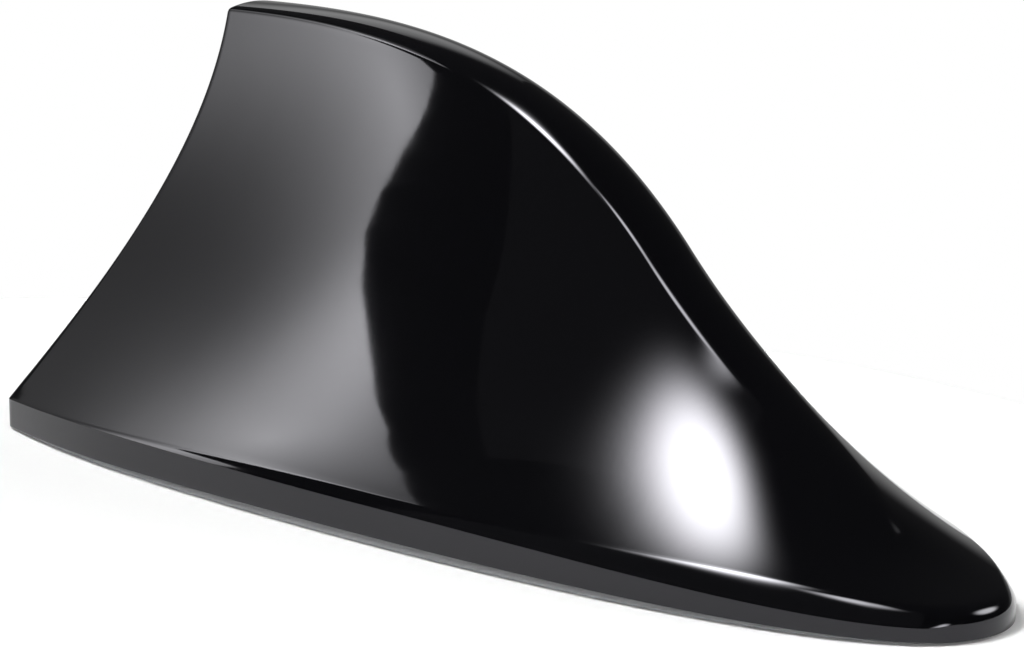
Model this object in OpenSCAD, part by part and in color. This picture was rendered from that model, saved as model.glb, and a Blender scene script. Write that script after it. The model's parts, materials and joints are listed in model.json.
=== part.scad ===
// Car roof antenna: a fin-shaped gloss cover over an amplifier board and a top-loaded coil.
// X runs from the tail to the nose, Z up, and the roof is the plane z = 0.
// The cover's surface is a loft: columns rise from the rim's outline to the ridge.

/* [Cover: plan] */
// Length over all, from the middle of the rear face to the nose
length = 167; // [158:1:178]
// Width of the rim at its widest
width = 71.2; // [67:0.1:76]
// How far the rear face bows out behind its two corners
rear_bow = 2; // [0.5:0.1:4]
// Distance from the tail corners to the widest place of the rim
waist_back = 31.6; // [24:0.1:40]
// How much narrower each side of the rim is at the tail than at the widest place
tail_tuck = 3.2; // [1:0.1:5]
// How late the rim starts to narrow towards the nose
nose_taper = 1.74; // [1.5:0.01:2]
// How blunt the nose is in plan
nose_round = 2.16; // [2:0.01:2.5]
// Thickness of the moulded wall
wall = 2.2; // [1.8:0.1:2.6]

/* [Cover: rim] */
// Height of the upright rim at the tail
rim_tail = 4; // [3.6:0.1:5.5]
// Height of the upright rim halfway
rim_mid = 4.8; // [4.4:0.1:7]
// Height of the upright rim at the nose
rim_nose = 3.8; // [3.2:0.1:5]
// Rise of the rim's lower edge at mid length, which follows the roof
rim_arch = 1.1; // [0.4:0.1:1.6]
// Gap between the roof and the rim's ends
rim_lift = 0.2; // [0.1:0.05:0.4]
// Size of the shoulder above the rim at the tail
shoulder_tail = 0.55; // [0.3:0.05:1.5]
// Size of the shoulder halfway
shoulder_mid = 0.6; // [0.3:0.05:2]
// Size of the shoulder at the nose
shoulder_nose = 3.3; // [2:0.1:4]

/* [Cover: ridge] */
// Height of the ridge's side edges at the tail
tail_height = 61; // [56:0.1:66]
// How far the top of the tail leans ahead of its foot
tail_rake = 17.7; // [13:0.1:20]
// Angle at which the ridge leaves the tail
tail_angle = 3.6; // [0:0.1:6]
// Length of the ridge's level run, as its curve's handle
tail_run = 38.6; // [34:0.1:42]
// Distance from the nose back to the steepest point of the ridge
slope_back = 58.6; // [52:0.1:63]
// Height of the ridge at its steepest point
slope_height = 38.8; // [34:0.1:42]
// Steepest angle of the ridge
slope_angle = 42.8; // [40:0.1:48]
// Handle of the ridge's curve above its steepest point
slope_upper = 30.3; // [26:0.1:35]
// Handle of the ridge's curve below its steepest point
slope_lower = 21; // [18:0.1:25]
// Distance from the nose back to the end of the ridge
snout_back = 15.8; // [14:0.1:17]
// Height of the ridge's end
snout_height = 10; // [9:0.1:11]
// Angle at which the ridge runs out into the nose
snout_angle = 40.8; // [37:0.1:43]
// Handle of the ridge's curve at its end
snout_run = 12.5; // [10:0.1:15]
// Half width of the ridge at the tail
ridge_tail = 4.5; // [3.4:0.1:5]
// How much each side of the ridge widens towards the nose
ridge_spread = -0.3; // [-1:0.1:1]
// Slope of the crown's side at the tail
crown_angle = 7; // [4:0.1:20]
// Width of the eased edge between flank and crown
crease = 0.5; // [0.3:0.1:1.2]

/* [Base] */
// Thickness of the adhesive pad and of the roof seal
pad_t = 1; // [0.8:0.1:1.4]
// Thickness of the base plate
base_t = 1.8; // [1.6:0.1:2.2]
// Gap between the base plate's edge and the cover's wall
base_gap = 0.3; // [0.2:0.05:0.6]
// How far the roof seal stands back from the rim's face
seal_inset = 0.5; // [0.3:0.1:1]
// Width of the roof seal under the base plate
seal_width = 4.5; // [3:0.1:6]
// Gap between the roof seal and the adhesive pad
pad_gap = 0.3; // [0.2:0.1:1]
// Distance from the rim's face to the seal groove
groove_inset = 4.8; // [4.2:0.1:5.4]
// Width of the seal groove
groove_w = 1.6; // [1.2:0.1:2]
// Depth of the seal groove
groove_d = 0.8; // [0.6:0.1:1]
// How far the body seal stands out of its groove
seal_proud = 0.4; // [0.2:0.1:0.6]
// Thickness of the rib that presses on the body seal
rib_t = 1.2; // [0.8:0.1:1.2]

/* [Screws] */
// Distance of the cover screws from the rim's face
screw_inset = 11.5; // [11:0.1:13]
// Distance of the rear screws ahead of the tail corners
rear_screw = 13.5; // [12:0.1:16]
// Distance of the middle screws ahead of the tail corners
mid_screw = 76.5; // [72:0.1:82]
// Distance of the front screws behind the nose
front_screw = 32.5; // [30:0.1:36]
// Diameter of a cover screw
screw_d = 2.8; // [2.6:0.1:3.2]
// Diameter of a cover screw's head
screw_head_d = 5.2; // [4.8:0.1:5.6]
// Height of a cover screw's head
screw_head_t = 1.8; // [1.4:0.1:2]
// Length of a cover screw under its head
screw_len = 6.4; // [5.6:0.1:6.6]
// Outer diameter of a screw boss in the cover
boss_d = 6.4; // [6:0.1:7]
// Outer diameter of a screw seat on the base plate
seat_d = 8; // [7.6:0.1:8.4]
// Height of a screw seat above the base plate
seat_h = 2.2; // [2:0.1:2.6]
// Gap around each screw in its hole
screw_gap = 0.2; // [0.15:0.05:0.3]
// Gap around the thread in its boss
thread_gap = 0.05; // [0.03:0.01:0.08]

/* [Cable outlet] */
// Distance of the cable outlet behind the nose
outlet_back = 44.5; // [42:0.1:50]
// Diameter of the hole that the cable passes
outlet_bore = 5; // [4:0.1:6]
// Diameter of the base plate's hole for the grommet
outlet_hole = 12; // [11:0.1:13]
// Width of the grommet's flange beyond its hole
grommet_lip = 1.5; // [1:0.1:2]
// Height of the grommet above the base plate
grommet_h = 3.2; // [2.5:0.1:4]

/* [Board] */
// Thickness of the circuit board
board_t = 1.6; // [1.2:0.1:2]
// Height of the board's standoffs
standoff_h = 4.2; // [3.6:0.1:5]
// Diameter of a standoff
standoff_d = 5.2; // [4.8:0.1:5.6]
// Distance of the board's holes from its edges
hole_inset = 3.6; // [3.2:0.1:4.2]
// Gap between the board's end and the parts around it
board_gap = 1; // [0.8:0.1:2]
// Distance of the board's rear end ahead of the tail corners
board_back = 20.5; // [19:0.1:24]
// Diameter of a board screw
board_screw_d = 2; // [1.8:0.1:2.2]
// Length of the shield can
can_l = 22; // [18:0.5:24]
// Width of the shield can
can_w = 18; // [14:0.5:20]
// Height of the shield can
can_h = 3.4; // [2.8:0.1:4]
// Thickness of the shield can's sheet
can_t = 0.4; // [0.3:0.1:0.5]

/* [Radiator] */
// Distance of the coil's axis ahead of the tail corners
coil_back = 48; // [44:0.5:52]
// Diameter of the coil at the middle of its wire
coil_d = 11; // [9:0.5:12]
// Thickness of the coil's wire
wire_d = 1; // [0.8:0.1:1.2]
// Number of turns of the coil
coil_turns = 7; // [5:1:8]
// Length of the top plate
plate_l = 58; // [50:1:60]
// Width of the top plate
plate_w = 8; // [7:0.1:8.4]
// Depth of the top plate's folded sides
plate_side = 5.5; // [4:0.1:7]
// Thickness of the top plate's sheet
plate_t = 0.5; // [0.4:0.1:0.8]
// Depth of the top plate below the tail's side edges
plate_drop = 18; // [17:0.1:20]
// Thickness of the radiator frame's web
web_t = 2.4; // [2:0.1:2.6]
// Width of each leg of the radiator frame
leg_w = 8; // [6:0.5:9]
// Depth of the radiator frame's top beam
beam_h = 6; // [5:0.1:7]

/* [Hidden] */
$fn = 48;
// Overlap for clean cuts
cut = 0.5;
// Hair's breadth between two curved faces that touch
face_gap = 0.02;
tail_x = rear_bow - length / 2;
nose_x = length / 2;
waist_x = tail_x + waist_back;
// Radius of the roof's arc, through the rim's two ends and its raised middle
arch_r = (pow(nose_x, 2) + pow(rim_arch, 2)) / (2 * rim_arch);
// Columns along one side, columns across the rear face, and points up each part of a column
side_n = 44;
rear_n = 6;
shoulder_n = 4;
flank_n = 9;
crown_n = 6;
crease_n = 2;
inner_flank_n = 6;
inner_crown_n = 4;

// Number helpers
function lerp(a, b, u) = a + (b - a) * u;
function smooth(u) = let (c = max(0, min(1, u))) c * c * (3 - 2 * c);
// A cubic curve through p[0] and p[3] with the handles p[1] and p[2]
function bezier(p, u) = p[0] * pow(1 - u, 3) + 3 * p[1] * u * pow(1 - u, 2)
    + 3 * p[2] * pow(u, 2) * (1 - u) + p[3] * pow(u, 3);
// How far a coordinate has gone from 0 to 1, with its two handles
function progress(h, u) = bezier([0, h[0], h[1], 1], u);
// A value with its own size at the tail, halfway and at the nose
function three(v, s) = lerp(lerp(v[0], v[1], smooth(2 * s)), v[2], smooth(2 * s - 1));
function arc_three(v, s) = v[0] * (1 - s) * (1 - 2 * s) + v[1] * 4 * s * (1 - s) + v[2] * s * (2 * s - 1);

// Handles of the flank's columns across the part, as [tail, middle, nose]
lean_in = [0.577, 0.518, 0.296];
lean_top = [0.9, 0.764, 0.613];
// Handles of the flank's columns along the part
run_in = [0.355, 0.837, 0.654];
run_top = [0.902, 0.909, 0.854];

// Half width of the rim at x, on an outline that stands w inside the outer one
function rim_half(x, w) = x > waist_x
    ? let (gone = pow((x - waist_x) / (nose_x - w - waist_x), nose_taper))
        (width / 2 - w) * pow(max(0, 1 - gone), 1 / nose_round)
    : width / 2 - w - tail_tuck * pow((waist_x - x) / waist_back, 2);
// Height of the rim's lower edge: an arc of the roof's curve
function under_rim(x) = rim_lift + rim_arch - arch_r + sqrt(pow(arch_r, 2) - pow(x, 2));
// Share of the rim's length at which the ridge is steepest
inflect = 0.55;
// What an inset takes off the ridge's half width and the rim's height, for each mm
ridge_loss = 0.85;
rim_loss = [0.55, 0.55, 0.45];
// The least that an inset leaves of the ridge's half width, the shoulder and the crease
ridge_least = 0.5;
shoulder_least = 0.3;
crease_least = 0.2;
// Depth of the shoulder's start below the rim's corner, as a share of the shoulder's width
shoulder_drop = 0.6;
// The ridge's side edge in the plane y = 0: two cubic curves that meet at its steepest point
function inward(a, w) = [-sin(a), -cos(a)] * w;
function ridge_at(u, w) = let (
    tail = [tail_x + tail_rake + w, tail_height - w],
    slope = [nose_x - slope_back, slope_height] + inward(slope_angle, w),
    snout = [nose_x - snout_back, snout_height] + inward(snout_angle, w),
    level = [cos(tail_angle), sin(tail_angle)],
    steep = [cos(slope_angle), -sin(slope_angle)],
    out = [cos(snout_angle), -sin(snout_angle)])
    u < inflect
    ? bezier([tail, tail + level * tail_run, slope - steep * slope_upper, slope], u / inflect)
    : bezier([slope, slope + steep * slope_lower, snout - out * snout_run, snout],
        (u - inflect) / (1 - inflect));
// The ridge closes to a point at its end, as a fingertip does
function fingertip(s) = sqrt(max(0, 1 - pow(s, 6)));
function ridge_half(s, w) = let (half = ridge_tail + ridge_spread * (s + pow(s, 3)) / 2)
    max(half - ridge_loss * w, ridge_least) * fingertip(s);

// The upper end of the flank at t from the tail (0) to the nose (1): share of the ridge's length and place
function ridge_share(t, edge, w) = let (start = ridge_at(0, w)[0])
    t >= 1 ? 1 : max(0, min(1, (edge[0] - start) / (nose_x - snout_back - start)));
function ridge_top(t, w) = let (edge = ridge_at(sin(90 * t), w))
    [edge[0], ridge_half(ridge_share(t, edge, w), w), edge[1]];
// Step along the columns for the ridge's direction
nudge = 0.0001;

// One column of the cover, at t from the tail (0) to the nose (1), w inside the outer face.
// It goes up the rim, round the shoulder, up the flank, round the crease and over the crown to the middle.
// The crown is a parabola. It leaves the crease at crown_angle at the tail, and at the nose it goes on from
// the flank at the flank's own slope in a section across the part.
function column(t, w, flank, crown) = let (
    s = sin(90 * t),
    x = lerp(tail_x + w, nose_x - w, s),
    half = rim_half(x, w),
    low = under_rim(x),
    corner = [x, half, low + arc_three([rim_tail, rim_mid, rim_nose], s) - w * three(rim_loss, s)],
    top = ridge_top(t, w),
    share = ridge_share(t, top, w),
    reach = top - corner,
    along = [three(run_in, s), three(run_top, s)],
    across = [three(lean_in, s), three(lean_top, s)],
    point = function (f) corner
        + [reach[0] * progress(along, f), reach[1] * progress(across, f), reach[2] * f],
    radius = max(arc_three([shoulder_tail, shoulder_mid, shoulder_nose], s) - w, shoulder_least),
    first = norm([reach[0] * along[0], reach[1] * across[0], reach[2] / 3]),
    bend = min(radius / (3 * first), 0.4),
    below = corner - [0, 0, radius * shoulder_drop],
    above = point(bend),
    last = [reach[0] * 3 * (1 - along[1]), reach[1] * 3 * (1 - across[1]), reach[2]],
    ahead = ridge_top(min(t + nudge, 1), w) - ridge_top(max(t - nudge, 0), w),
    level = last[1] * ahead[0] - last[0] * ahead[1],
    slope = (last[0] * ahead[2] - last[2] * ahead[0]) / level,
    height = tan(lerp(crown_angle, atan(slope), share)) * top[1] / 2,
    ease = min(max(crease - w, crease_least), 0.45 * top[1]),
    over = top[1] > 0 ? ease / top[1] : 0,
    under = 1 - min(ease / norm(last), 0.3),
    arch = function (f) top + [0, -top[1] * f, height * f * (2 - f)],
    turned = function (a, b, c, g) a * pow(1 - g, 2) + b * 2 * g * (1 - g) + c * g * g)
    concat(
        [[x, half, low]],
        [for (i = [0 : shoulder_n]) turned(below, corner, above, i / shoulder_n)],
        [for (i = [1 : flank]) point(lerp(bend, under, i / flank))],
        [for (i = [1 : crease_n]) turned(point(under), top, arch(over), i / crease_n)],
        [for (i = [1 : crown - crease_n]) arch(lerp(over, 1, i / (crown - crease_n)))]);

// A column's place round the plan: near side to the nose, far side back, then across the rear
around = 2 * side_n + rear_n;
function place(k, c, w) = k <= side_n ? [c[0], -c[1], c[2]]
    : k <= 2 * side_n ? c
    : let (v = 1 - 2 * (k - 2 * side_n) / rear_n)
        [c[0] - rear_bow * (1 - v * v) * c[1] / rim_half(tail_x + w, w), c[1] * v, c[2]];
function column_of(k) = k <= side_n ? k : k <= 2 * side_n ? 2 * side_n - k : 0;
// Points of one skin: every column without its middle point, then the points along the middle
function skin_points(w, flank, crown) = let (
    columns = [for (i = [0 : side_n]) column(i / side_n, w, flank, crown)],
    last = len(columns[0]) - 1)
    concat(
        [for (k = [0 : around - 1]) for (j = [0 : last - 1]) place(k, columns[column_of(k)][j], w)],
        [for (c = columns) [c[last][0], 0, c[last][2]]]);
// Index of a skin's point, with the nose's crown drawn together in one point
function skin_id(k, j, rows, crown) = let (kk = k % around)
    j == rows || (kk == side_n && j >= rows - crown) ? around * rows + column_of(kk) : kk * rows + j;
function skin_faces(rows, crown, start, flip) = [
    for (k = [0 : around - 1]) for (j = [0 : rows - 1])
        let (a = skin_id(k, j, rows, crown), b = skin_id(k + 1, j, rows, crown),
            c = skin_id(k + 1, j + 1, rows, crown), d = skin_id(k, j + 1, rows, crown))
        for (f = [[a, d, c], [a, c, b]])
            if (f[0] != f[1] && f[1] != f[2] && f[0] != f[2])
                [for (q = flip ? [f[2], f[1], f[0]] : f) q + start]];

// The cover's wall: an outer skin and an inner one, joined round the rim's lower edge
module cover_wall() {
    outer = skin_points(0, flank_n, crown_n);
    inner = skin_points(wall, inner_flank_n, inner_crown_n);
    outer_rows = 1 + shoulder_n + flank_n + crown_n;
    inner_rows = 1 + shoulder_n + inner_flank_n + inner_crown_n;
    start = len(outer);
    rim = [for (k = [0 : around - 1]) let (n = (k + 1) % around,
            a = k * outer_rows, b = n * outer_rows, c = start + n * inner_rows, d = start + k * inner_rows)
        for (f = [[a, b, c], [a, c, d]]) f];
    polyhedron(concat(outer, inner), concat(
        skin_faces(outer_rows, crown_n, 0, false),
        skin_faces(inner_rows, inner_crown_n, start, true),
        rim));
}

// A solid as large as the cover would be with its face at mid wall, to trim what grows from the wall
module trim_block() {
    rows = 1 + shoulder_n + inner_flank_n + inner_crown_n;
    foot = [for (k = [0 : around - 1]) k * rows];
    polyhedron(skin_points(wall / 2, inner_flank_n, inner_crown_n),
        concat(skin_faces(rows, inner_crown_n, 0, false), [foot]));
}

// Plan outline that stands w inside the rim's face
outline_n = 30;
module outline(w) {
    near = [for (i = [0 : outline_n]) let (x = lerp(tail_x + w, nose_x - w, sin(90 * i / outline_n)))
        [x, -rim_half(x, w)]];
    far = [for (i = [1 : outline_n]) let (p = near[outline_n - i]) [p[0], -p[1]]];
    rear = [for (i = [1 : rear_n - 1]) let (v = 1 - 2 * i / rear_n)
        [tail_x + w - rear_bow * (1 - v * v), v * rim_half(tail_x + w, w)]];
    polygon(concat(near, far, rear));
}
module ring(w, thick) {
    difference() {
        outline(w);
        outline(w + thick);
    }
}

// Heights and places that several pieces share
base_z = pad_t;
base_top = base_z + base_t;
seat_z = base_top + seat_h;
board_z = base_top + standoff_h;
board_top = board_z + board_t;
head_z = base_z + screw_gap;
screw_x = [tail_x + rear_screw, tail_x + mid_screw, nose_x - front_screw];
screws = [for (x = screw_x) for (side = [-1, 1]) [x, side * rim_half(x, screw_inset)]];
outlet_x = nose_x - outlet_back;
board_x0 = tail_x + board_back;
board_x1 = outlet_x - outlet_hole / 2 - grommet_lip - board_gap;
board_half = rim_half(screw_x[1], screw_inset) - seat_d / 2 - board_gap;
board_holes = [for (x = [board_x0 + hole_inset, board_x1 - hole_inset]) for (side = [-1, 1])
    [x, side * (board_half - hole_inset)]];
coil_x = tail_x + coil_back;
plate_x = coil_x;
plate_top = tail_height - plate_drop;
plate_z = plate_top - plate_t;
window_top = plate_z - beam_h;
frame_l = plate_l - leg_w;
window_l = frame_l - 2 * leg_w;
tee_t = 1.5;
peg_d = 2;
flange_t = 1;
coil_z = board_top + flange_t + wire_d / 2;
coil_clear = 4;
coil_pitch = (window_top - coil_clear - coil_z) / coil_turns;
coil_top = coil_z + coil_pitch * coil_turns + wire_d / 2;

module cover() {
    pilot = head_z + screw_head_t + screw_len + 2 * thread_gap;
    color("#0b0b0d") difference() {
        union() {
            cover_wall();
            intersection() {
                trim_block();
                union() {
                    for (p = screws) translate([p[0], p[1], seat_z]) cylinder(d = boss_d, h = tail_height);
                    translate([0, 0, base_top + seal_proud]) linear_extrude(slope_height)
                        ring(groove_inset + (groove_w - rib_t) / 2, rib_t);
                }
            }
        }
        for (p = screws) translate([p[0], p[1], seat_z - cut])
            cylinder(d = screw_d + 2 * thread_gap, h = pilot - seat_z + cut);
    }
}

module base_plate() {
    rib_h = 1.4;
    rib_w = 1.4;
    head_hole = screw_head_d + 2 * screw_gap;
    bearing = head_z + screw_head_t;
    color("#1d1d20") difference() {
        union() {
            translate([0, 0, base_z]) linear_extrude(base_t) outline(wall + base_gap);
            for (p = screws) translate([p[0], p[1], base_z]) cylinder(d = seat_d, h = seat_z - base_z);
            for (p = board_holes) translate([p[0], p[1], base_z])
                cylinder(d = standoff_d, h = board_z - base_z);
            for (side = [-1, 1]) translate([board_x0, side * board_half / 3 - rib_w / 2, base_z])
                cube([board_x1 - board_x0, rib_w, base_t + rib_h]);
            for (x = [screw_x[0], screw_x[1]]) translate([x - rib_w / 2, -rim_half(x, screw_inset), base_z])
                cube([rib_w, 2 * rim_half(x, screw_inset), base_t + rib_h]);
        }
        translate([0, 0, base_top - groove_d]) linear_extrude(standoff_h) ring(groove_inset, groove_w);
        for (p = screws) translate([p[0], p[1], base_z - cut]) {
            cylinder(d = head_hole, h = bearing - base_z + cut);
            cylinder(d = screw_d + 2 * screw_gap, h = seat_z);
        }
        for (p = board_holes) translate([p[0], p[1], base_top])
            cylinder(d = board_screw_d + 2 * thread_gap, h = standoff_h + cut);
        translate([outlet_x, 0, base_z - cut]) cylinder(d = outlet_hole, h = base_t + 2 * cut);
    }
}

module roof_seal() {
    lip = wall + base_gap - seal_inset;
    color("#8b8b8d") union() {
        intersection() {
            linear_extrude(rim_lift + rim_arch) ring(seal_inset, lip);
            rotate([90, 0, 0]) linear_extrude(width, center = true) polygon(concat(
                [[nose_x, 0], [tail_x - rear_bow, 0], [tail_x - rear_bow, rim_lift]],
                [for (i = [0 : side_n]) let (x = lerp(tail_x, nose_x, sin(90 * i / side_n)))
                    [x, under_rim(x) - face_gap]]));
        }
        linear_extrude(pad_t) ring(wall + base_gap, seal_width);
    }
}

module adhesive_pad() {
    color("#3a3a3c") linear_extrude(pad_t) difference() {
        outline(wall + base_gap + seal_width + pad_gap);
        translate([outlet_x, 0]) circle(d = outlet_hole + 2 * grommet_lip);
    }
}

module body_seal() {
    color("#2b2b2d") translate([0, 0, base_top - groove_d]) linear_extrude(groove_d + seal_proud)
        ring(groove_inset, groove_w);
}

module screw(d, head_d, head_t, len) {
    slot_w = d / 4;
    difference() {
        union() {
            cylinder(d = head_d, h = head_t);
            translate([0, 0, head_t]) cylinder(d = d, h = len);
        }
        for (a = [0, 90]) rotate(a) translate([-d / 2, -slot_w / 2, -cut])
            cube([d, slot_w, head_t / 2 + cut]);
    }
}

module cover_screws() {
    color("silver") for (p = screws) translate([p[0], p[1], head_z])
        screw(screw_d, screw_head_d, screw_head_t, screw_len);
}

module cable_grommet() {
    flange_h = 1.2;
    neck_t = 1.6;
    taper = 0.6;
    neck = outlet_bore / 2 + neck_t;
    color("#202022") translate([outlet_x, 0, 0]) rotate_extrude() polygon([
        [outlet_bore / 2, base_z],
        [outlet_hole / 2, base_z],
        [outlet_hole / 2, base_top],
        [outlet_hole / 2 + grommet_lip, base_top],
        [outlet_hole / 2 + grommet_lip, base_top + flange_h / 2],
        [outlet_hole / 2 + grommet_lip / 2, base_top + flange_h],
        [neck + taper, base_top + flange_h],
        [neck, base_top + grommet_h],
        [outlet_bore / 2, base_top + grommet_h]]);
}

module circuit_board() {
    peg_x = [plate_x - plate_l / 2 + leg_w, plate_x + plate_l / 2 - leg_w];
    color("#1f5a34") difference() {
        translate([board_x0, -board_half, board_z]) cube([board_x1 - board_x0, 2 * board_half, board_t]);
        for (p = board_holes) translate([p[0], p[1], board_z - cut])
            cylinder(d = board_screw_d + 2 * screw_gap, h = board_t + 2 * cut);
        for (x = peg_x) translate([x, 0, board_z - cut])
            cylinder(d = peg_d + 2 * thread_gap, h = board_t + 2 * cut);
    }
}

module board_screws() {
    head_t = 1.3;
    color("silver") for (p = board_holes) translate([p[0], p[1], board_top + head_t]) mirror([0, 0, 1])
        screw(board_screw_d, 2 * board_screw_d, head_t, board_t + standoff_h - cut);
}

// Length and width of the smallest chips, and their distance from the shield can
chip_l = 1.6;
chip_w = 0.8;
chip_gap = 1.5;
// The shield can and the chips ahead of it share the board between the radiator frame and the front end
can_x = (plate_x + frame_l / 2 + board_x1 - chip_gap - chip_l) / 2;
module shield_can() {
    vent_d = 1.6;
    vents = 5;
    pitch = can_l / (vents + 1);
    color("gainsboro") difference() {
        translate([can_x - can_l / 2, -can_w / 2, board_top]) cube([can_l, can_w, can_h]);
        translate([can_x - can_l / 2 + can_t, -can_w / 2 + can_t, board_top - cut])
            cube([can_l - 2 * can_t, can_w - 2 * can_t, can_h - can_t + cut]);
        for (i = [1 : vents]) translate([can_x - can_l / 2 + i * pitch, 0, board_top + can_h - can_t - cut])
            cylinder(d = vent_d, h = can_t + 2 * cut);
    }
}

package = 5;
module amplifier_chip() {
    package_t = 1;
    color("#17171a") translate([can_x - package / 2, -package / 2, board_top])
        cube([package, package, package_t]);
}

// A row of chips across the board, behind x = 0
module chip_row(count, pitch) {
    for (i = [0 : count - 1]) translate([-chip_l, (i - (count - 1) / 2) * pitch - chip_w / 2, 0])
        cube([chip_l, chip_w, chip_w]);
}

module chip_capacitors() {
    color("tan") for (x = [can_x - package + chip_l, can_x + package]) translate([x, 0, board_top])
        chip_row(4, 3 * chip_w);
}

module chip_resistors() {
    color("#222226") translate([can_x + can_l / 2 + chip_gap + chip_l, 0, board_top])
        chip_row(5, 2.5 * chip_w);
}

// The choke stands between the frame's rear leg and the coil
module drum_inductor() {
    r = 2.5;
    h = 4;
    lip = 0.8;
    x = (plate_x - window_l / 2 + coil_x - former_r) / 2;
    color("#2d2a28") translate([x, 0, board_top]) rotate_extrude() polygon([
        [0, 0], [r, 0], [r, lip], [r - lip, lip], [r - lip, h - lip], [r, h - lip], [r, h], [0, h]]);
}

// The capacitor stands between the coil and the frame's front leg
module electrolytic_capacitor() {
    d = 5;
    can_d = 4.7;
    tall = 5;
    foot = 0.8;
    x = (plate_x + window_l / 2 + coil_x + former_r) / 2;
    color("#b9bcc0") translate([x, 0, board_top]) {
        translate([-d / 2, -d / 2, 0]) cube([d, d, foot]);
        translate([0, 0, foot]) cylinder(d = can_d, h = tall);
    }
}

former_gap = 0.1;
former_r = coil_d / 2 + wire_d;
module coil_former() {
    r = (coil_d - wire_d) / 2 - former_gap;
    bore_share = 0.65;
    color("ivory") translate([coil_x, 0, board_top]) difference() {
        union() {
            cylinder(r = former_r, h = flange_t);
            cylinder(r = r, h = coil_top - board_top);
        }
        translate([0, 0, flange_t]) cylinder(r = r * bore_share, h = coil_top);
        translate([coil_d / 2 - wire_d, -lug_w / 2 - former_gap, -cut])
            cube([3 * wire_d, lug_w + 2 * former_gap, flange_t + 2 * cut]);
    }
}

// A round wire swept along a helix, ring by ring, with a flat cap at each end
module antenna_coil() {
    steps = 20;
    sides = 8;
    rings = steps * coil_turns;
    climb = atan2(coil_pitch, PI * coil_d);
    points = [for (i = [0 : rings]) let (a = 360 * i / steps, out = [cos(a), sin(a), 0],
            up = [sin(a) * sin(climb), -cos(a) * sin(climb), cos(climb)])
        for (j = [0 : sides - 1]) let (b = 360 * j / sides)
            out * coil_d / 2 + [0, 0, coil_pitch * i / steps] + (out * cos(b) + up * sin(b)) * wire_d / 2];
    walls = [for (i = [0 : rings - 1]) for (j = [0 : sides - 1]) let (n = (j + 1) % sides,
            a = i * sides + j, b = i * sides + n, c = (i + 1) * sides + n, d = (i + 1) * sides + j)
        for (f = [[a, b, c], [a, c, d]]) f];
    caps = [[for (j = [0 : sides - 1]) sides - 1 - j], [for (j = [0 : sides - 1]) rings * sides + j]];
    color("#b87333") translate([coil_x, 0, coil_z]) polyhedron(points, concat(walls, caps));
}

lug_w = 2.4;
module coil_lug() {
    color("#c9a227") translate([coil_x + (coil_d - wire_d) / 2 + former_gap, -lug_w / 2, board_top])
        cube([2 * wire_d, lug_w, coil_z - wire_d / 2 - board_top]);
}

// The clip stands on the coil's last turn and touches the inside of the top plate's folded side
module feed_clip() {
    thick = 0.4;
    clip_w = 3;
    inside = plate_w / 2 - plate_t;
    color("#c9a227") translate([coil_x + coil_d / 2 - clip_w, 0, coil_top]) {
        translate([0, -inside, 0]) cube([clip_w + wire_d, inside + lug_w / 2, thick]);
        translate([0, -inside, 0]) cube([clip_w, thick, plate_z - tee_t - cut - coil_top]);
    }
}

module rounded_window(w, h, r) {
    translate([r, 0]) square([w - 2 * r, h]);
    square([w, h - r]);
    for (x = [r, w - r]) translate([x, h - r]) circle(r);
}

// A bridge over the coil: an upright web with one window, two feet and a tee along its top
module radiator_frame() {
    foot_t = 1.6;
    foot_w = 12;
    corner_r = 5;
    color("#e6e2d6") translate([plate_x, 0, board_top]) {
        rotate([90, 0, 0]) translate([0, 0, -web_t / 2]) linear_extrude(web_t) difference() {
            translate([-frame_l / 2, 0]) square([frame_l, plate_z - board_top]);
            translate([-window_l / 2, 0]) rounded_window(window_l, window_top - board_top, corner_r);
        }
        for (side = [-1, 1]) translate([side * (plate_l / 2 - leg_w), 0, 0]) {
            translate([-leg_w / 2, -foot_w / 2, 0]) cube([leg_w, foot_w, foot_t]);
            translate([0, 0, -board_t]) cylinder(d = peg_d, h = board_t + foot_t);
        }
        inside = plate_w - 2 * plate_t - 2 * former_gap;
        translate([-frame_l / 2, -inside / 2, plate_z - board_top - tee_t]) cube([frame_l, inside, tee_t]);
    }
}

// Sheet metal folded down on both long sides
module top_plate() {
    color("#c8ccd0") translate([plate_x - plate_l / 2, -plate_w / 2, plate_top - plate_side]) difference() {
        cube([plate_l, plate_w, plate_side]);
        translate([-cut, plate_t, -cut])
            cube([plate_l + 2 * cut, plate_w - 2 * plate_t, plate_side - plate_t + cut]);
    }
}

module damping_pad() {
    pad_l = 24;
    pad_w = 3;
    pad_h = 7;
    color("#4a4a4d") translate([plate_x - pad_l / 2, -pad_w / 2, plate_top]) cube([pad_l, pad_w, pad_h]);
}

cover();
base_plate();
roof_seal();
adhesive_pad();
body_seal();
cover_screws();
cable_grommet();
circuit_board();
board_screws();
shield_can();
amplifier_chip();
chip_capacitors();
chip_resistors();
drum_inductor();
electrolytic_capacitor();
coil_former();
antenna_coil();
coil_lug();
feed_clip();
radiator_frame();
top_plate();
damping_pad();
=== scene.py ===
"""A fin-shaped roof antenna for a car: high gloss black cover, grey roof seal, and what they hold inside.

Lengths are in millimetres until a mesh is made. X runs from the tail to the nose and Z up from the roof.
"""
import json
import math

import bpy
import numpy as np
from mathutils import Matrix


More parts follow.
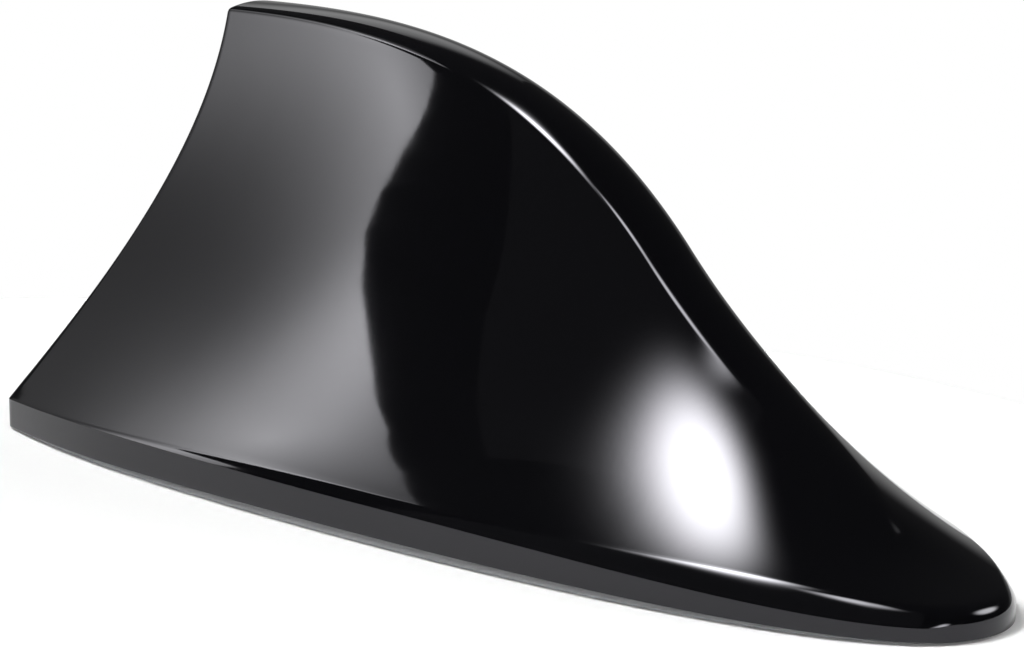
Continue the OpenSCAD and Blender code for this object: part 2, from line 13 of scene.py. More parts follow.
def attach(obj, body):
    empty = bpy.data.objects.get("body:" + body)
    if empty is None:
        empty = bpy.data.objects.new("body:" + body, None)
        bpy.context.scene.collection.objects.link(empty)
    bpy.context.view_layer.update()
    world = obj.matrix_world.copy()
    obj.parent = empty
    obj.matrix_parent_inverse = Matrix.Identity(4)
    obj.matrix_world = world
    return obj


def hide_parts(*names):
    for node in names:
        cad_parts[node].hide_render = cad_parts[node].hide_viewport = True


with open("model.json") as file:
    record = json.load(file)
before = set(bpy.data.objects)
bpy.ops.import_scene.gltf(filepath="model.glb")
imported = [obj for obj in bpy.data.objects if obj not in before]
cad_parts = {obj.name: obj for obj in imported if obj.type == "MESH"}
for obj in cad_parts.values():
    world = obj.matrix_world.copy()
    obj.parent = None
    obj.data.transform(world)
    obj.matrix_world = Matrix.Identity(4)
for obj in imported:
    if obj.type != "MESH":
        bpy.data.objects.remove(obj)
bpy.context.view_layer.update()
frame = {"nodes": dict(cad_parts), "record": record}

# Millimetre in Blender's metres
MM = 0.001

# Cover, plan: length, widest width, bow of the rear face, place of the widest section, tuck at the tail
LENGTH = 167.0
WIDTH = 71.16
REAR_BOW = 2.0
WAIST_BACK = 31.6
TAIL_TUCK = 3.2
NOSE_TAPER = 1.74
NOSE_ROUND = 2.16
WALL = 2.2
# Cover, rim: heights at the tail, halfway and at the nose, and the rise of its lower edge
RIM = (4.15, 5.0, 3.8)
RIM_ARCH = 1.1
RIM_LIFT = 0.2
# Cover, shoulder, at the tail, halfway and at the nose: its reach, its drop below the rim's corner as a share
# of that, and how round it is (0 a flat bevel, 1 a full curve), which grows to 1 over the NOSE_CAP columns
SHOULDER = (0.1, 1.7, 2.6)
SHOULDER_DROP = (0.5, 0.5, 0.8)
SHOULDER_ROLL = (1.0, 0.5, 0.3)
SHOULDER_LEAST = 0.3
SHOULDER_MOST = 0.4
NOSE_CAP = (0.80, 0.93)
# Cover, ridge in side view: tail corner, steepest point and end, each with an angle and curve handles, and the
# share of the columns' run that lies behind the steepest point
TAIL_HEIGHT = 60.8
TAIL_RAKE = 17.7
TAIL_ANGLE = 3.6
TAIL_RUN = 38.6
SLOPE_BACK = 58.6
SLOPE_HEIGHT = 38.8
SLOPE_ANGLE = 42.8
SLOPE_UPPER = 30.3
SLOPE_LOWER = 21.0
SNOUT_BACK = 15.8
SNOUT_HEIGHT = 10.0
SNOUT_ANGLE = 40.8
SNOUT_RUN = 12.5
INFLECT = 0.55
# Cover, ridge in section: half width with its growth to the nose and its least, the slope of the crown's side
# at the tail, the power by which that goes over to the flank's own slope, and the width of the eased edge
# between the two at the tail, halfway and at the nose, with its least and its most as shares of both sides
RIDGE_TAIL = 4.5
RIDGE_SPREAD = -0.3
RIDGE_LEAST = 0.5
CROWN_ANGLE = 16.0
CROWN_BLEND = 1.3
CREASE = (0.6, 0.5, 0.35)
CREASE_LEAST = 0.2
CREASE_CROWN = 0.45
CREASE_FLANK = 0.3
# Cover, flank: curve handles across and along the part at the tail, halfway and at the nose
LEAN_IN = (0.577, 0.518, 0.296)
LEAN_TOP = (0.90, 0.764, 0.613)
RUN_IN = (0.355, 0.837, 0.654)
RUN_TOP = (0.902, 0.909, 0.854)
# What an inset takes off the rim's height and the ridge's half width, for each millimetre
RIM_LOSS = (0.55, 0.55, 0.45)
RIDGE_LOSS = 0.85
# Radius of the moulded edge round the rear face, at the rim and at the ridge
REAR_EDGE = (2.2, 0.9)
# How much closer the columns stand at the tail and the nose
COLUMN_EASE = 0.7
# Places of the rows on the rim, close to its two edges so that they shade crisply
RIM_ROWS = (0.0, 0.02, 0.98)
# Roof seal: its insets from the rim's face, the bulge of its face, its gap to the rim, and the pad's height
SEAL_INSET = 0.5
SEAL_LIP = 2.5
SEAL_END = 7.0
SEAL_BULGE = 0.12
SEAL_GAP = 0.02
PAD = 1.0

TAIL_X = REAR_BOW - LENGTH / 2
NOSE_X = LENGTH / 2
WAIST_X = TAIL_X + WAIST_BACK
ARCH_R = (NOSE_X**2 + RIM_ARCH**2) / (2 * RIM_ARCH)


def lerp(a, b, u):
    return a + (b - a) * u


def smooth(u):
    """Smooth step from 0 to 1: three u squared less two u cubed."""
    c = np.clip(u, 0, 1)
    return c * c * (3 - 2 * c)


def bezier(p, u):
    """Cubic curve through p[0] and p[3] with the handles p[1] and p[2]."""
    return p[0] * (1 - u)**3 + 3 * p[1] * u * (1 - u)**2 + 3 * p[2] * u**2 * (1 - u) + p[3] * u**3


def three(v, s):
    """A value with its own size at the tail, halfway and at the nose, joined by smooth steps."""
    return lerp(lerp(v[0], v[1], smooth(2 * s)), v[2], smooth(2 * s - 1))


def arc_three(v, s):
    """The parabola through three values at s = 0, a half and 1."""
    return v[0] * (1 - s) * (1 - 2 * s) + v[1] * 4 * s * (1 - s) + v[2] * s * (2 * s - 1)


def rim_half(x, w=0.0):
    """Half width of the rim at x: a superellipse ahead of the widest place and a parabola behind it."""
    gone = np.clip((x - WAIST_X) / (NOSE_X - w - WAIST_X), 0, 1)**NOSE_TAPER
    front = (WIDTH / 2 - w) * (1 - gone)**(1 / NOSE_ROUND)
    back = WIDTH / 2 - w - TAIL_TUCK * ((WAIST_X - x) / WAIST_BACK)**2
    return np.where(x > WAIST_X, front, back)


def under_rim(x):
    """Height of the rim's lower edge, an arc of the roof's curve."""
    return RIM_LIFT + RIM_ARCH - ARCH_R + np.sqrt(ARCH_R**2 - x**2)


def heading(degrees):
    return np.array([math.cos(math.radians(degrees)), -math.sin(math.radians(degrees))])


def ridge_at(u, w):
    """The ridge's side edge as (x, z): two cubic curves that meet at its steepest point, moved in by w."""
    steep, out, level = heading(SLOPE_ANGLE), heading(SNOUT_ANGLE), heading(-TAIL_ANGLE)
    tail = np.array([TAIL_X + TAIL_RAKE + w, TAIL_HEIGHT - w])
    slope = np.array([NOSE_X - SLOPE_BACK + steep[1] * w, SLOPE_HEIGHT - steep[0] * w])
    snout = np.array([NOSE_X - SNOUT_BACK + out[1] * w, SNOUT_HEIGHT - out[0] * w])
    u = np.asarray(u)[..., None]
    upper = bezier((tail, tail + level * TAIL_RUN, slope - steep * SLOPE_UPPER, slope),
                   np.clip(u / INFLECT, 0, 1))
    lower = bezier((slope, slope + steep * SLOPE_LOWER, snout - out * SNOUT_RUN, snout),
                   np.clip((u - INFLECT) / (1 - INFLECT), 0, 1))
    return np.where(u < INFLECT, upper, lower)


def ridge_rows(t, w):
    """What the columns at t hang on: rim share, rim corner, its foot's height, ridge share and ridge edge."""
    s = np.sin(t * math.pi / 2)
    x = lerp(TAIL_X + w, NOSE_X - w, s)
    low = under_rim(x)
    corner = np.stack([x, rim_half(x, w), low + arc_three(RIM, s) - w * three(RIM_LOSS, s)], -1)
    edge = ridge_at(s, w)
    start = TAIL_X + TAIL_RAKE + w
    share = np.clip((edge[..., 0] - start) / (NOSE_X - SNOUT_BACK - start), 0, 1)
    share = np.where(t >= 1, 1, share)
    ridge = np.maximum(RIDGE_TAIL + RIDGE_SPREAD * (share + share**3) / 2 - RIDGE_LOSS * w, RIDGE_LEAST)
    ridge = ridge * np.sqrt(np.maximum(0, 1 - share**6))
    return s, corner, low, share, np.stack([edge[..., 0], ridge, edge[..., 1]], -1)


def cover_rows(t, w, rim, shoulder, flank, crease, crown):
    """Far half of the cover's face, w inside the outer one, as points [column, row].

    t goes from the tail (0) to the nose (1), and may differ from row to row. Each column rises straight
    from the rim's foot, breaks inward to a quadratic shoulder that rolls on to the flank and is fully round
    at the nose, goes up the flank on a cubic curve, turns a narrow quadratic crease and goes over the crown
    on a parabola, which leaves the crease at CROWN_ANGLE at the tail and at the flank's own angle at the
    nose. rim, shoulder, flank, crease and crown are the rows' places on those five.
    """
    cuts = np.cumsum([len(rim), len(shoulder), len(flank), len(crease), len(crown)])
    t = np.broadcast_to(t[:, None] if t.ndim == 1 else t, (len(t), cuts[-1]))
    s, corner, low, share, top = ridge_rows(t, w)
    reach = top - corner
    lean = three(LEAN_IN, s), three(LEAN_TOP, s)
    run = three(RUN_IN, s), three(RUN_TOP, s)

    def flank_point(f):
        return corner + reach * np.stack([bezier((0, run[0], run[1], 1), f),
                                          bezier((0, lean[0], lean[1], 1), f), f], -1)

    first = np.linalg.norm(reach * np.stack([run[0], lean[0], np.full_like(s, 1 / 3)], -1), axis=-1)
    radius = np.maximum(three(SHOULDER, s) - w, SHOULDER_LEAST)
    bend = np.minimum(radius / (3 * first), SHOULDER_MOST)
    below = corner - np.stack([0 * s, 0 * s, radius * three(SHOULDER_DROP, s)], -1)
    above = flank_point(bend)

    # The flank's direction at its upper end, and its slope there in a section across the part
    last = reach * np.stack([3 * (1 - run[1]), 3 * (1 - lean[1]), np.ones_like(s)], -1)
    near = 1e-4
    ahead = ridge_rows(np.minimum(t + near, 1), w)[-1] - ridge_rows(np.maximum(t - near, 0), w)[-1]
    across = last[..., 1] * ahead[..., 0] - last[..., 0] * ahead[..., 1]
    slope = (last[..., 0] * ahead[..., 2] - last[..., 2] * ahead[..., 0]) / np.minimum(across, -1e-12)
    angle = lerp(math.radians(CROWN_ANGLE), np.arctan(slope), share**CROWN_BLEND)
    height = np.tan(angle) * top[..., 1] / 2
    ease = np.minimum(np.maximum(three(CREASE, s) - w, CREASE_LEAST), CREASE_CROWN * top[..., 1])
    over = ease / np.maximum(top[..., 1], 1e-6)
    under = 1 - np.minimum(ease / np.linalg.norm(last, axis=-1), CREASE_FLANK)

    def crown_point(f):
        return top + np.stack([0 * f, -top[..., 1] * f, height * (2 * f - f**2)], -1)

    def turned(a, b, c, g):
        g = np.asarray(g)[:, None]
        return a * (1 - g)**2 + b * 2 * g * (1 - g) + c * g**2

    f = np.zeros(cuts[-1])
    f[:cuts[0]] = rim
    points = np.stack([corner[..., 0], corner[..., 1], lerp(low, below[..., 2], f)], -1)
    a, b, c, d = (slice(*cuts[i:i + 2]) for i in range(4))
    cap = smooth((t - NOSE_CAP[0]) / (NOSE_CAP[1] - NOSE_CAP[0]))
    handle = lerp(above, corner, lerp(three(SHOULDER_ROLL, s), 1, cap)[..., None])
    points[:, a] = turned(below[:, a], handle[:, a], above[:, a], shoulder)
    f[b] = flank
    points[:, b] = flank_point(lerp(bend, under, f))[:, b]
    points[:, c] = turned(flank_point(under)[:, c], top[:, c], crown_point(over)[:, c], crease)
    f[d] = crown
    points[:, d] = crown_point(lerp(over, 1, f))[:, d]
    points[:, -1, 1] = 0
    return points


def steps(n, first=False):
    """n equal steps to 1, with or without the 0 before them."""
    return np.linspace(0, 1, n + 1)[0 if first else 1:]


def rear_depth(profile, y, z):
    """x of the bowed rear face at (y, z), from its side edge profile [row, xyz]."""
    edge_y = np.interp(z, profile[:, 2], profile[:, 1])
    edge_x = np.interp(z, profile[:, 2], profile[:, 0])
    share = np.clip(np.abs(y) / np.maximum(edge_y, 1e-6), 0, 1)
    return edge_x - REAR_BOW * (1 - share**2) * edge_y / rim_half(TAIL_X)


def cover_half(w, columns, across, turn, edge, **rows):
    """Far half of one skin as points [column, row], from the middle of the rear face round to the nose.

    The edge between the rear face and the flank is a quadratic curve: it leaves the flank a radius ahead
    of the sharp corner and reaches the rear face a radius inside it. The radius is `edge` times REAR_EDGE.
    """
    near = 1e-3
    ends = cover_rows(np.array([0, near]), w, **rows)
    sharp = ends[0]
    radius = edge * lerp(REAR_EDGE[0], REAR_EDGE[1], sharp[:, 2] / TAIL_HEIGHT)
    ahead = (ends[1] - sharp) / near
    speed = np.linalg.norm(ahead, axis=-1)
    # The side's first column stands a radius ahead of the corner on every row
    even = np.linspace(0, 1, columns + 1)[:, None]
    t = lerp((radius / speed)[None], 1, even - COLUMN_EASE * np.sin(2 * math.pi * even) / (2 * math.pi))
    side = cover_rows(t, w, **rows)
    along = np.gradient(sharp[:, 1:], axis=0)
    along /= np.linalg.norm(along, axis=-1, keepdims=True)
    inside = sharp[:, 1:] + radius[:, None] * np.stack([-along[:, 1], along[:, 0]], -1)
    inside[:, 0] = np.maximum(inside[:, 0], 0)
    inside[0] = sharp[0, 1:] - [radius[0], 0]
    inside[-1, 0] = 0
    end = np.concatenate([rear_depth(sharp, inside[:, 0], inside[:, 1])[:, None], inside], -1)
    u = steps(turn, True)[:, None, None]
    fillet = end * (1 - u)**2 + sharp * 2 * u * (1 - u) + side[0] * u**2
    v = steps(across, True)[:-1, None]
    y = inside[None, :, 0] * v
    z = np.broadcast_to(inside[None, :, 1], y.shape)
    rear = np.stack([rear_depth(sharp, y, z), y, z], -1)
    return np.concatenate([rear, fillet, side[1:]])


def skin_ids(shape, across, crown_rows, start):
    """Vertex numbers of a skin's near and far halves: the halves share the middle line, the nose and the
    middle of the rear face, and what closes to a point has one number."""
    columns, rows = shape
    near = np.arange(columns * rows).reshape(columns, rows)
    near[:across, -1] = near[across, -1]
    near[-1, rows - crown_rows:] = near[-1, -1]
    own = np.ones(shape, bool)
    own[0] = own[-1] = False
    own[:, -1] = False
    far = near.copy()
    far[own] = columns * rows + np.arange(own.sum())
    return near + start, far + start, own


def quads(ids):
    """Two triangles for each cell of a grid of vertex numbers."""
    a, b, c, d = ids[:-1, :-1], ids[1:, :-1], ids[1:, 1:], ids[:-1, 1:]
    return np.concatenate([np.stack([a, b, c], -1).reshape(-1, 3), np.stack([a, c, d], -1).reshape(-1, 3)])


def solid_mesh(name, points, faces, material):
    """A smooth mesh object from points in millimetres and triangles, without the triangles that closed up."""
    faces = faces[(faces[:, 0] != faces[:, 1]) & (faces[:, 1] != faces[:, 2]) & (faces[:, 0] != faces[:, 2])]
    used, renumbered = np.unique(faces, return_inverse=True)
    faces = renumbered.reshape(-1, 3)
    mesh = bpy.data.meshes.new(name)
    mesh.from_pydata((points[used] * MM).tolist(), [], faces.tolist())
    mesh.polygons.foreach_set("use_smooth", np.ones(len(faces), bool))
    mesh.materials.append(material)
    mesh.update()
    mesh.validate()
    piece = bpy.data.objects.new(name, mesh)
    bpy.context.scene.collection.objects.link(piece)
    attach(piece, "root")
    return piece


def cover_skin(start, flip, **form):
    """One closed-up skin of the cover: points, triangles, and its foot as a ring of vertex numbers."""
    half = cover_half(**form)
    near, far, own = skin_ids(half.shape[:2], form["across"], len(form["crease"]) + len(form["crown"]), start)
    mirror = np.array([1, -1, 1])
    points = np.concatenate([half.reshape(-1, 3) * mirror, half[own]])
    faces = np.concatenate([quads(near), quads(far)[:, ::-1]])
    foot = np.concatenate([near[:, 0], far[-2:0:-1, 0]])
    return points, faces[:, ::-1] if flip else faces, foot


def build_cover(material):
    """The moulded shell: an outer and an inner skin joined round the rim's lower edge."""
    plan = dict(columns=260, across=24, turn=8)
    outer, outer_faces, outer_foot = cover_skin(
        0, False, w=0.0, edge=1.0, rim=RIM_ROWS, shoulder=steps(12, True), flank=steps(70),
        crease=steps(6), crown=steps(16), **plan)
    inner, inner_faces, inner_foot = cover_skin(
        len(outer), True, w=WALL, edge=0.3, rim=[0.0], shoulder=steps(3, True), flank=steps(12),
        crease=steps(1), crown=steps(3), **plan)
    band = np.stack([np.append(outer_foot, outer_foot[0]), np.append(inner_foot, inner_foot[0])])
    return solid_mesh("cover_shell", np.concatenate([outer, inner]),
                      np.concatenate([outer_faces, inner_faces, quads(band)]), material)


def carried(name, profile, across, material):
    """A closed strip round the rim's outline: profile(x) gives its corners as (inset, height), in order."""
    turn = np.sin(np.linspace(0, 1, 221) * math.pi / 2)
    lift = np.linspace(1, -1, across + 1)[1:-1]
    rings = []
    for inset, height in profile:
        x = lerp(TAIL_X + inset, NOSE_X - inset, turn)
        side = np.stack([x, rim_half(x, inset)], -1)
        rear = np.stack([TAIL_X + inset - REAR_BOW * (1 - lift**2), lift * rim_half(TAIL_X + inset, inset)], -1)
        plan = np.concatenate([side * [1, -1], side[-2::-1], rear])
        rings.append(np.column_stack([plan, height(np.clip(plan[:, 0], TAIL_X, NOSE_X))]))
    points = np.stack(rings, 1)
    ids = np.arange(points.shape[0] * points.shape[1]).reshape(points.shape[:2])
    ids = np.concatenate([ids, ids[:1]])
    ids = np.concatenate([ids, ids[:, :1]], 1)
    return solid_mesh(name, points.reshape(-1, 3), quads(ids), material)


def build_seal(material):
    """The roof seal: a lip that fills the gap under the rim, its face bulged, and a flange under the plate."""
    top = lambda x: under_rim(x) - SEAL_GAP
    face = [(SEAL_INSET + SEAL_BULGE * (2 * u - 1)**2, lambda x, u=u: u * top(x)) for u in steps(8, True)]
    corners = [(SEAL_LIP, top), (SEAL_LIP, lambda x: PAD + 0 * x), (SEAL_END, lambda x: PAD + 0 * x),
               (SEAL_END, lambda x: 0 * x)]
    return carried("roof_seal_strip", face + corners, 24, material)


# Materials

def linear(code, alpha=1.0):
    """A colour written as in a picture (#rrggbb, sRGB) in Blender's linear values."""
    c = np.array([int(code[i:i + 2], 16) for i in (1, 3, 5)]) / 255
    return (*np.where(c <= 0.04045, c / 12.92, ((c + 0.055) / 1.055)**2.4), alpha)


def add(tree, kind, inputs=None, **settings):
    """A shader node with its settings. An input takes a value, or the output socket that feeds it."""
    made = tree.nodes.new("ShaderNode" + kind)
    for key, value in settings.items():
        setattr(made, key, value)
    for key, value in (inputs or {}).items():
        if isinstance(value, bpy.types.NodeSocket):
            tree.links.new(value, made.inputs[key])
        else:
            made.inputs[key].default_value = value
    return made


def new_material(name):
    """An empty node material and its output node."""
    material = bpy.data.materials.new(name)
    material.use_nodes = True
    material.node_tree.nodes.clear()
    return material, material.node_tree, add(material.node_tree, "OutputMaterial")


def place(tree, grain, stretch=(1, 1, 1)):
    """Object coordinates in which one unit is `grain` millimetres."""
    coordinates = add(tree, "TexCoord").outputs["Object"]
    scale = [s / (grain * MM) for s in stretch]
    return add(tree, "Mapping", {"Vector": coordinates, "Scale": scale}).outputs["Vector"]


def noise(tree, grain, detail=3.0, stretch=(1, 1, 1)):
    """Soft noise from 0 to 1 with lumps about `grain` millimetres across."""
    vector = place(tree, grain, stretch)
    return add(tree, "TexNoise", {"Vector": vector, "Scale": 1.0, "Detail": detail}).outputs["Fac"]


def spread(tree, value, low, high, start=0.3, stop=0.7):
    """A value from start to stop mapped to low to high, and held there."""
    return add(tree, "MapRange", {"Value": value, "From Min": start, "From Max": stop, "To Min": low,
                                  "To Max": high}).outputs["Result"]


def mixed(tree, value, dark, light):
    """Two picture colours mixed by a value."""
    mix = add(tree, "Mix", data_type="RGBA")
    tree.links.new(value, mix.inputs[0])
    mix.inputs[6].default_value = linear(dark)
    mix.inputs[7].default_value = linear(light)
    return mix.outputs[2]


def bump(tree, height, depth, below=None):
    """A bump `depth` millimetres deep, over another one where given."""
    made = add(tree, "Bump", {"Height": height, "Strength": 1.0, "Distance": depth * MM})
    if below is not None:
        tree.links.new(below, made.inputs["Normal"])
    return made.outputs["Normal"]


def surface(name, dark, light, rough, grain, depth, metal=0.0, ior=1.5, stretch=(1, 1, 1)):
    """A plain finish: a noise `grain` mm across mixes two colours, spreads the roughness and lifts a bump."""
    material, tree, out = new_material(name)
    pattern = noise(tree, grain, stretch=stretch)
    shader = add(tree, "BsdfPrincipled", {
        "Base Color": mixed(tree, noise(tree, 9 * grain), dark, light),
        "Roughness": spread(tree, pattern, *rough), "Metallic": metal, "IOR": ior,
        "Normal": bump(tree, pattern, depth)})
    tree.links.new(shader.outputs["BSDF"], out.inputs["Surface"])
    return material


def gloss_cover():
    """High gloss ABS straight from a polished mould: a long wave, fine orange peel and a trace of wiping."""
    material, tree, out = new_material("gloss_black_abs")
    wave = bump(tree, noise(tree, 14, detail=1.0), 0.012)
    peel = bump(tree, noise(tree, 1.1, detail=1.0), 0.0006, below=wave)
    wipe = noise(tree, 6, stretch=(0.25, 1, 1))
    shader = add(tree, "BsdfPrincipled", {
        "Base Color": mixed(tree, noise(tree, 30), "#040406", "#070709"), "Specular Tint": linear("#f8f7ff"),
        "Roughness": spread(tree, wipe, 0.03, 0.06), "IOR": 1.5, "Normal": peel})
    tree.links.new(shader.outputs["BSDF"], out.inputs["Surface"])
    return material


FINISHES = {
    # Glossy ABS of the visible shell
    "cover": gloss_cover(),
    # Glass-filled nylon of the moulded base plate
    "base": surface("glass_filled_nylon", "#19191b", "#232326", (0.45, 0.62), 0.8, 0.012),
    # Grey thermoplastic rubber, as moulded
    "roof_seal": surface("grey_thermoplastic_rubber", "#878789", "#98989a", (0.6, 0.8), 0.5, 0.012),
    # Closed-cell acrylic foam tape
    "foam_tape": surface("acrylic_foam_tape", "#343436", "#424244", (0.8, 0.95), 0.4, 0.03),
    # Black EPDM rubber
    "seal": surface("epdm_rubber", "#222223", "#2d2d2f", (0.55, 0.75), 0.5, 0.01),
    # Zinc-plated steel
    "screw": surface("zinc_plated_steel", "#a7abae", "#c3c6c8", (0.25, 0.4), 0.5, 0.004, metal=1.0),
    # Solder mask over woven glass board
    "board": surface("green_solder_mask", "#164a2a", "#1f6238", (0.2, 0.35), 0.6, 0.006, ior=1.52),
    # Tin-plated steel sheet
    "tinplate": surface("tin_plated_steel", "#b4b7b9", "#cfd1d2", (0.22, 0.38), 1.5, 0.004, metal=1.0,
                        stretch=(0.1, 1, 1)),
    # Moulded epoxy of chips
    "chip": surface("moulded_epoxy", "#141416", "#1d1d20", (0.4, 0.55), 0.2, 0.006),
    # Fired ceramic of chip capacitors
    "ceramic": surface("fired_ceramic", "#a8875f", "#bb9a70", (0.45, 0.6), 0.2, 0.004, ior=1.6),
    # Ground ferrite
    "ferrite": surface("ground_ferrite", "#262321", "#34302d", (0.5, 0.7), 0.3, 0.01, ior=1.7),
    # Drawn aluminium can
    "can": surface("drawn_aluminium", "#b9bbbd", "#d0d2d4", (0.25, 0.4), 0.6, 0.004, metal=1.0,
                   stretch=(1, 1, 0.1)),
    # Natural glass-filled PBT
    "former": surface("natural_pbt", "#dcd7c8", "#e8e4d7", (0.4, 0.55), 0.8, 0.008, ior=1.55),
    # Enamelled copper wire
    "copper": surface("enamelled_copper", "#b5673a", "#c97c4b", (0.15, 0.28), 0.8, 0.003, metal=1.0),
    # Rolled brass strip
    "brass": surface("rolled_brass", "#b99b45", "#cdb05a", (0.22, 0.36), 0.6, 0.003, metal=1.0,
                     stretch=(0.1, 1, 1)),
    # Open-cell polyurethane foam
    "foam": surface("open_cell_foam", "#3b3b3e", "#505053", (0.85, 0.98), 0.5, 0.12),
}

for part in frame["record"]["subparts"]:
    frame["nodes"][part["node"]].data.materials.clear()
    frame["nodes"][part["node"]].data.materials.append(FINISHES[part["material_slot"]])

cover = build_cover(FINISHES["cover"])
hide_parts("cover")
seal = build_seal(FINISHES["roof_seal"])
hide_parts("roof_seal")


# Studio

def direction(azimuth, elevation):
    a, e = math.radians(azimuth), math.radians(elevation)
    return np.array([math.cos(a) * math.cos(e), math.sin(a) * math.cos(e), math.sin(e)])


CARD_DISTANCE = 8.0


def softbox(name, azimuth, elevation, turn, reach, power, strength, spans=((-2.2, 2.2), (-2.2, 2.2)),
            distance=CARD_DISTANCE):
    """A card that faces the part and shines most at its middle.

    Its light is strength times e to the minus ((x/a) squared + (y/b) squared) to the power, where a and b
    are `reach` times the distance. spans are the card's ends along x and y, in reaches, or its corners as
    (azimuth, elevation).
    """
    centre = direction(azimuth, elevation)
    level = np.array([-math.sin(math.radians(azimuth)), math.cos(math.radians(azimuth)), 0])
    upright = np.cross(centre, level)
    r = math.radians(turn)
    x_axis = math.cos(r) * level + math.sin(r) * upright
    y_axis = math.cos(r) * upright - math.sin(r) * level
    size = np.array(reach) * distance
    if len(spans) == 2:
        corners = [(a * size[0], b * size[1]) for a, b in
                   ((spans[0][0], spans[1][0]), (spans[0][1], spans[1][0]), (spans[0][1], spans[1][1]),
                    (spans[0][0], spans[1][1]))]
    else:
        rays = np.array([direction(*corner) for corner in spans])
        rays *= distance / (rays @ centre)[:, None]
        corners = np.stack([rays @ x_axis, rays @ y_axis], -1).tolist()
    mesh = bpy.data.meshes.new(name)
    mesh.from_pydata([(*corner, 0) for corner in corners], [], [tuple(range(len(corners)))])
    card = bpy.data.objects.new(name, mesh)
    bpy.context.scene.collection.objects.link(card)
    turned = np.eye(4)
    turned[:3] = np.column_stack([x_axis, y_axis, centre, centre * distance])
    card.matrix_world = Matrix(turned.tolist())
    card.visible_camera = False
    material, tree, out = new_material(name + "_light")
    coordinates = add(tree, "TexCoord").outputs["Object"]
    scaled = add(tree, "VectorMath", {0: coordinates, 1: (1 / size[0], 1 / size[1], 0)}, operation="MULTIPLY")
    squared = add(tree, "VectorMath", {0: scaled.outputs[0], 1: scaled.outputs[0]}, operation="DOT_PRODUCT")
    raised = add(tree, "Math", {0: squared.outputs["Value"], 1: power}, operation="POWER")
    negative = add(tree, "Math", {0: raised.outputs[0], 1: -1.0}, operation="MULTIPLY")
    fall = add(tree, "Math", {0: negative.outputs[0]}, operation="EXPONENT")
    level_of = add(tree, "Math", {0: fall.outputs[0], 1: strength}, operation="MULTIPLY")
    light = add(tree, "Emission", {"Color": (1, 1, 1, 1), "Strength": level_of.outputs[0]})
    both = add(tree, "AddShader", {0: light.outputs[0], 1: add(tree, "BsdfTransparent").outputs[0]})
    tree.links.new(both.outputs[0], out.inputs["Surface"])
    mesh.materials.append(material)
    return card


# Key light over the near flank
softbox("key", -121.1, 62.1, -132.9, (0.118, 0.243), 1.37, 32.5)
# A small lamp beside it, seen only along the ridge and in the rim's shoulder at the nose
softbox("ridge_lamp", -74.0, 56.0, 0.0, (0.15, 0.08), 1.5, 13.0)
# Left panel: a tall glow by its right edge, a wide one low and a small one high, all cut by the edge of a flag
FLAG = ((-134.0, -20), (-134.0, 11.5), (-134.8, 13.4), (-136.4, 15.0), (-138.0, 16.4), (-139.7, 17.9),
        (-141.7, 20.3), (-142.9, 23.0), (-142.7, 26.8), (-141.6, 29.6), (-140.1, 33.2), (-138.8, 37.9),
        (-141.6, 43.1), (-148.3, 46.4), (-152.9, 48.8), (-175, 50), (-175, -20))
softbox("panel", -138.7, 12.9, 4.3, (0.102, 0.401), 0.624, 5.08, FLAG)
softbox("panel_low", -105.4, 5.3, -40.7, (1.117, 0.151), 1.58, 6.32, FLAG, distance=8.2)
softbox("panel_high", -150.5, 36.1, 7.5, (0.164, 0.06), 0.528, 3.99, FLAG, distance=8.4)
softbox("panel_base", -157.0, 20.0, 0.0, (2.0, 2.0), 4.0, 0.24, FLAG, distance=8.6)
# Dim room beyond the gap
softbox("room", -85.0, 20.0, 0.0, (2.0, 2.0), 4.0, 0.045,
        ((-125.6, -5), (-125.6, 27), (-126.3, 30.6), (-125.4, 35), (-125.2, 39.5), (-131, 45.7), (-131, 60),
         (-40, 60), (-40, -5)))
# Dim backdrop behind the part, and a lighter patch of it on the left
softbox("backdrop", 128.0, -6.0, 0.0, (0.9, 0.30), 2.0, 0.28, ((-1.3, 1.3), (-1.3, 1.3)))
softbox("backdrop_patch", 143.0, 25.0, 0.0, (0.22, 0.22), 2.0, 0.75,
        ((128.0, 8.0), (148.5, 8.0), (148.5, 42.0), (128.0, 42.0)))
# Fill light from behind on the right, which throws the shadow to the left, and a small lamp low in front
softbox("fill", 55.0, 34.0, 0.0, (0.24, 0.20), 2.0, 9.0, ((-1.5, 1.5), (-1.5, 1.5)))
softbox("front", -22.0, 3.0, 0.0, (0.12, 0.09), 1.5, 10.0)
# A plain light from below, kept off the rest of the part by the table
softbox("under", -90.0, -76.0, 0.0, (0.3, 0.3), 2.0, 4.0, ((-1.3, 1.3), (-1.3, 1.3)))

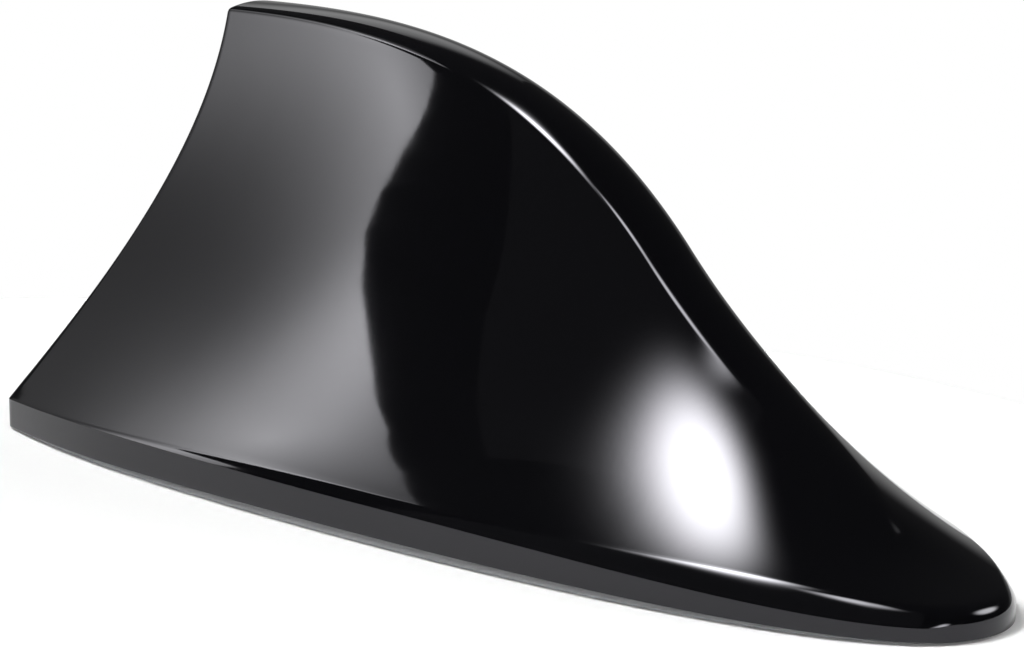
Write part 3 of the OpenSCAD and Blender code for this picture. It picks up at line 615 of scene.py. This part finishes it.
# Floor: a pale round table in metres, set towards the camera and just clear of the part's underside, with a
# share of its own white for what sees it directly
TABLE = 0.19
TABLE_BACK = 0.10
TABLE_DROP = 0.0002
TABLE_SIDES = 96
TABLE_GLOW = 0.1
floor_mesh = bpy.data.meshes.new("floor")
ring = np.linspace(0, 2 * math.pi, TABLE_SIDES + 1)[:-1]
floor_mesh.from_pydata([(TABLE * math.cos(a), TABLE * math.sin(a) - TABLE_BACK, -TABLE_DROP) for a in ring], [],
                       [tuple(range(TABLE_SIDES))])
floor = bpy.data.objects.new("floor", floor_mesh)
bpy.context.scene.collection.objects.link(floor)
pale, tree, out = new_material("pale_floor")
seen = add(tree, "LightPath")
either = add(tree, "Math", {0: seen.outputs["Is Camera Ray"], 1: seen.outputs["Is Glossy Ray"]},
             operation="MAXIMUM")
share = add(tree, "Math", {0: either.outputs[0], 1: TABLE_GLOW}, operation="MULTIPLY")
paint = add(tree, "BsdfDiffuse", {"Color": linear("#f2f2f2")})
own = add(tree, "Emission", {"Color": (1, 1, 1, 1), "Strength": share.outputs[0]})
both = add(tree, "AddShader", {0: paint.outputs[0], 1: own.outputs[0]})
tree.links.new(both.outputs[0], out.inputs["Surface"])
floor_mesh.materials.append(pale)

# World: white to the camera, dim to all else, as the photo's gloss mirrors dark surroundings
WORLD_DIM = 0.035
world = bpy.data.worlds.new("studio")
bpy.context.scene.world = world
world.use_nodes = True
tree = world.node_tree
tree.nodes.clear()
seen = add(tree, "LightPath")
level = add(tree, "MapRange", {"Value": seen.outputs["Is Camera Ray"], "To Min": WORLD_DIM, "To Max": 1.0})
sky = add(tree, "Background", {"Color": (1, 1, 1, 1), "Strength": level.outputs["Result"]})
tree.links.new(sky.outputs[0], add(tree, "OutputWorld").inputs["Surface"])

# Camera at the photo's place: height, heading and tilt come from a fit of the part's outline to the photo
lens = bpy.data.cameras.new("camera")
lens.sensor_width = 36.0
lens.lens = 156.63
lens.clip_end = 30.0
camera = bpy.data.objects.new("camera", lens)
camera.location = (0.44114, -0.38999, 0.16398)
camera.rotation_euler = (math.radians(90 - 13.364), math.radians(-0.0835), math.radians(48.945))
bpy.context.scene.collection.objects.link(camera)
bpy.context.scene.camera = camera
bpy.context.scene.view_settings.view_transform = "Standard"
